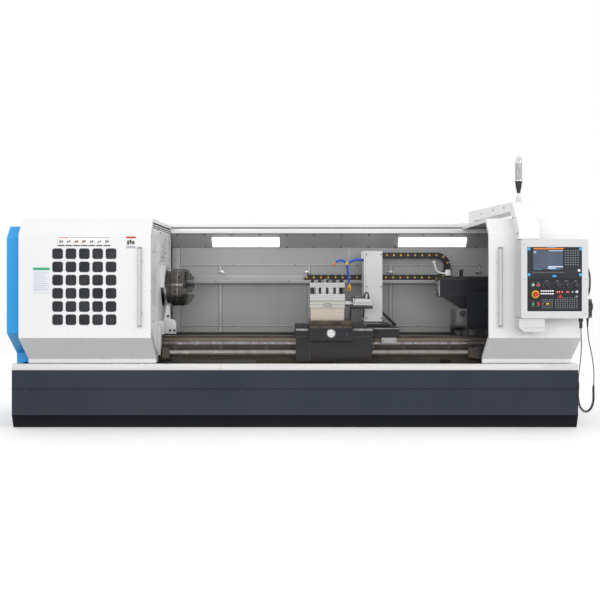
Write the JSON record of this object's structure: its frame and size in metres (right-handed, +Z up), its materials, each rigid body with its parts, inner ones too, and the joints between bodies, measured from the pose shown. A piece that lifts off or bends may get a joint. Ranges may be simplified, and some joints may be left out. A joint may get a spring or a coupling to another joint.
{
  "type": "cnc turning lathe",
  "caption": "Long flat-bed turning lathe with sliding guard doors, jaw chuck, tool post carriage, tailstock and a swivelling operator pendant.",
  "frame": {"origin": "on the floor under the middle foot of the bed, at half the base's length and depth", "axes": "+X along the bed from the headstock to the tailstock, +Y to the rear, +Z up"},
  "size_m": [4.996, 2.641, 2.353],
  "materials": {
    "navy_paint": "navy blue powder coat, satin",
    "white_paint": "white powder coat, satin",
    "blue_paint": "bright blue powder coat",
    "grey_paint": "mid grey paint",
    "light_paint": "light grey paint",
    "dark_paint": "near black machine enamel",
    "stainless": "brushed stainless sheet",
    "cast": "oiled cast iron with ground ways",
    "steel": "turned and ground steel",
    "chuck_steel": "dark oiled steel",
    "post_steel": "ground steel",
    "lamp": "frosted lamp cover",
    "window": "smoked polycarbonate",
    "rubber": "matt black rubber",
    "black_plastic": "black moulded plastic",
    "panel": "charcoal panel film",
    "blue_plastic": "blue moulded plastic",
    "red_plastic": "red moulded plastic",
    "green_plastic": "green moulded plastic",
    "yellow_plastic": "yellow moulded plastic",
    "signal": "clear and red signal lamp"
  },
  "bodies": {
    "root": {"base_cabinet": "navy_paint", "chip_tray": "stainless", "bed": "cast", "headstock": "cast", "headstock_cover": "white_paint", "end_cover": "blue_paint", "tail_cover": "white_paint", "back_guard": "grey_paint", "rear_cover": "white_paint", "work_lamps": "lamp", "drive_belt": "rubber", "main_motor": "dark_paint", "z_motor": "black_plastic", "chain_lower": "black_plastic", "electrical_cabinet": "white_paint", "pendant_arm": "white_paint", "signal_lamp": "signal"},
    "spindle": {"spindle": "steel", "chuck_body": "chuck_steel", "spindle_pulley": "cast"},
    "motor_rotor": {"motor_pulley": "cast"},
    "z_screw": {"z_screw": "steel"},
    "carriage": {"saddle": "dark_paint", "apron": "dark_paint", "column_cover": "light_paint", "chain_upper": "black_plastic", "coolant_hose": "blue_plastic"},
    "chain_bend": {"chain_bend": "black_plastic"},
    "cross_slide": {"cross_slide": "dark_paint", "turret_base": "post_steel", "turret_motor": "post_steel"},
    "turret": {"turret_head": "post_steel"},
    "coolant_tap": {"coolant_tap": "yellow_plastic"},
    "tailstock": {"tailstock_body": "dark_paint"},
    "quill": {"quill": "steel"},
    "tailstock_wheel": {"tailstock_wheel": "steel"},
    "clamp_lever": {"clamp_lever": "light_paint"},
    "left_door": {"left_door": "white_paint", "left_windows": "window", "left_handle": "light_paint"},
    "right_door": {"right_door": "white_paint", "right_handle": "light_paint"},
    "cabinet_door": {"cabinet_door": "white_paint"},
    "pendant": {"pendant_box": "white_paint", "display_unit": "panel", "control_panel": "panel", "mpg_box": "black_plastic", "cord_plug": "black_plastic", "cord_lead_out": "rubber", "cord_curl": "rubber", "cord_lead_back": "rubber"},
    "mpg_dial": {"mpg_dial": "black_plastic"},
    "estop_button": {"estop_button": "red_plastic"},
    "start_button": {"start_button": "green_plastic"},
    "stop_button": {"stop_button": "red_plastic"},
    "mode_knob": {"mode_knob": "black_plastic"},
    "jaw_1": {"jaw_1": "steel"},
    "jaw_2": {"jaw_2": "steel"},
    "jaw_3": {"jaw_3": "steel"},
    "jaw_4": {"jaw_4": "steel"}
  },
  "joints": [
    {"name": "spindle_spin", "type": "hinge", "parent": "root", "child": "spindle", "pos_m": [-1.2, -0.167, 1.224], "axis": [1, 0, 0], "continuous": true},
    {"name": "motor_spin", "type": "hinge", "parent": "root", "child": "motor_rotor", "pos_m": [-2.4, 0.5, 0.9], "axis": [1, 0, 0], "continuous": true},
    {"name": "z_slide", "type": "slide", "parent": "root", "child": "carriage", "axis": [1, 0, 0], "range_m": [-0.8, 0.15]},
    {"name": "z_screw_spin", "type": "hinge", "parent": "root", "child": "z_screw", "pos_m": [0, -0.6, 0.646], "axis": [1, 0, 0], "range_deg": [-28900, 5500]},
    {"name": "chain_bend_slide", "type": "slide", "parent": "root", "child": "chain_bend", "axis": [1, 0, 0], "range_m": [-0.401, 0.076]},
    {"name": "x_slide", "type": "slide", "parent": "carriage", "child": "cross_slide", "axis": [0, 1, 0], "range_m": [-0.15, 0.12]},
    {"name": "turret_index", "type": "hinge", "parent": "cross_slide", "child": "turret", "pos_m": [0.293, -0.292, 1.2], "axis": [0, 0, 1], "continuous": true},
    {"name": "coolant_tap_turn", "type": "hinge", "parent": "carriage", "child": "coolant_tap", "pos_m": [0.512, -0.06, 1.215], "axis": [0, 1, 0], "range_deg": [0, 90]},
    {"name": "tailstock_slide", "type": "slide", "parent": "root", "child": "tailstock", "axis": [1, 0, 0], "range_m": [-0.2, 0.15]},
    {"name": "quill_slide", "type": "slide", "parent": "tailstock", "child": "quill", "axis": [-1, 0, 0], "range_m": [0, 0.15]},
    {"name": "tailstock_wheel_turn", "type": "hinge", "parent": "tailstock", "child": "tailstock_wheel", "pos_m": [2.1, -0.167, 1.224], "axis": [1, 0, 0], "range_deg": [0, 9001]},
    {"name": "clamp_lever_turn", "type": "hinge", "parent": "tailstock", "child": "clamp_lever", "pos_m": [1.425, -0.202, 1.361], "axis": [0, 1, 0], "range_deg": [-8, 60]},
    {"name": "left_door_slide", "type": "slide", "parent": "root", "child": "left_door", "axis": [1, 0, 0], "range_m": [0, 1.4]},
    {"name": "right_door_slide", "type": "slide", "parent": "root", "child": "right_door", "axis": [-1, 0, 0], "range_m": [0, 1.2]},
    {"name": "cabinet_door_swing", "type": "hinge", "parent": "root", "child": "cabinet_door", "pos_m": [2.437, 1.2, 0.95], "axis": [0, 0, -1], "range_deg": [0, 100]},
    {"name": "pendant_swivel", "type": "hinge", "parent": "root", "child": "pendant", "pos_m": [1.9325, -1.242, 1.63], "axis": [0, 0, -1], "range_deg": [0, 60]},
    {"name": "mpg_dial_turn", "type": "hinge", "parent": "pendant", "child": "mpg_dial", "pos_m": [2.45, -1.25, 1.072], "axis": [1, 0, 0], "continuous": true},
    {"name": "estop_push", "type": "slide", "parent": "pendant", "child": "estop_button", "axis": [0, 1, 0], "range_m": [0, 0.006], "stiffness_N_per_m": 800},
    {"name": "start_push", "type": "slide", "parent": "pendant", "child": "start_button", "axis": [0, 1, 0], "range_m": [0, 0.004], "stiffness_N_per_m": 500},
    {"name": "stop_push", "type": "slide", "parent": "pendant", "child": "stop_button", "axis": [0, 1, 0], "range_m": [0, 0.004], "stiffness_N_per_m": 500},
    {"name": "mode_turn", "type": "hinge", "parent": "pendant", "child": "mode_knob", "pos_m": [2.064, -1.35, 1.248], "axis": [0, 1, 0], "range_deg": [-120, 120]},
    {"name": "jaw_1_slide", "type": "slide", "parent": "spindle", "child": "jaw_1", "axis": [0, -0.2079, 0.9781], "range_m": [-0.02, 0.03]},
    {"name": "jaw_2_slide", "type": "slide", "parent": "spindle", "child": "jaw_2", "axis": [0, -0.9781, -0.2079], "range_m": [-0.02, 0.03]},
    {"name": "jaw_3_slide", "type": "slide", "parent": "spindle", "child": "jaw_3", "axis": [0, 0.2079, -0.9781], "range_m": [-0.02, 0.03]},
    {"name": "jaw_4_slide", "type": "slide", "parent": "spindle", "child": "jaw_4", "axis": [0, 0.9781, 0.2079], "range_m": [-0.02, 0.03]}
  ],
  "couplings": [
    {"joint": "motor_spin", "follows": "spindle_spin", "ratio": 1.625},
    {"joint": "z_screw_spin", "follows": "z_slide", "rad_per_m": 628.32},
    {"joint": "chain_bend_slide", "follows": "z_slide", "ratio": 0.5},
    {"joint": "tailstock_wheel_turn", "follows": "quill_slide", "rad_per_m": 1047.2}
  ]
}
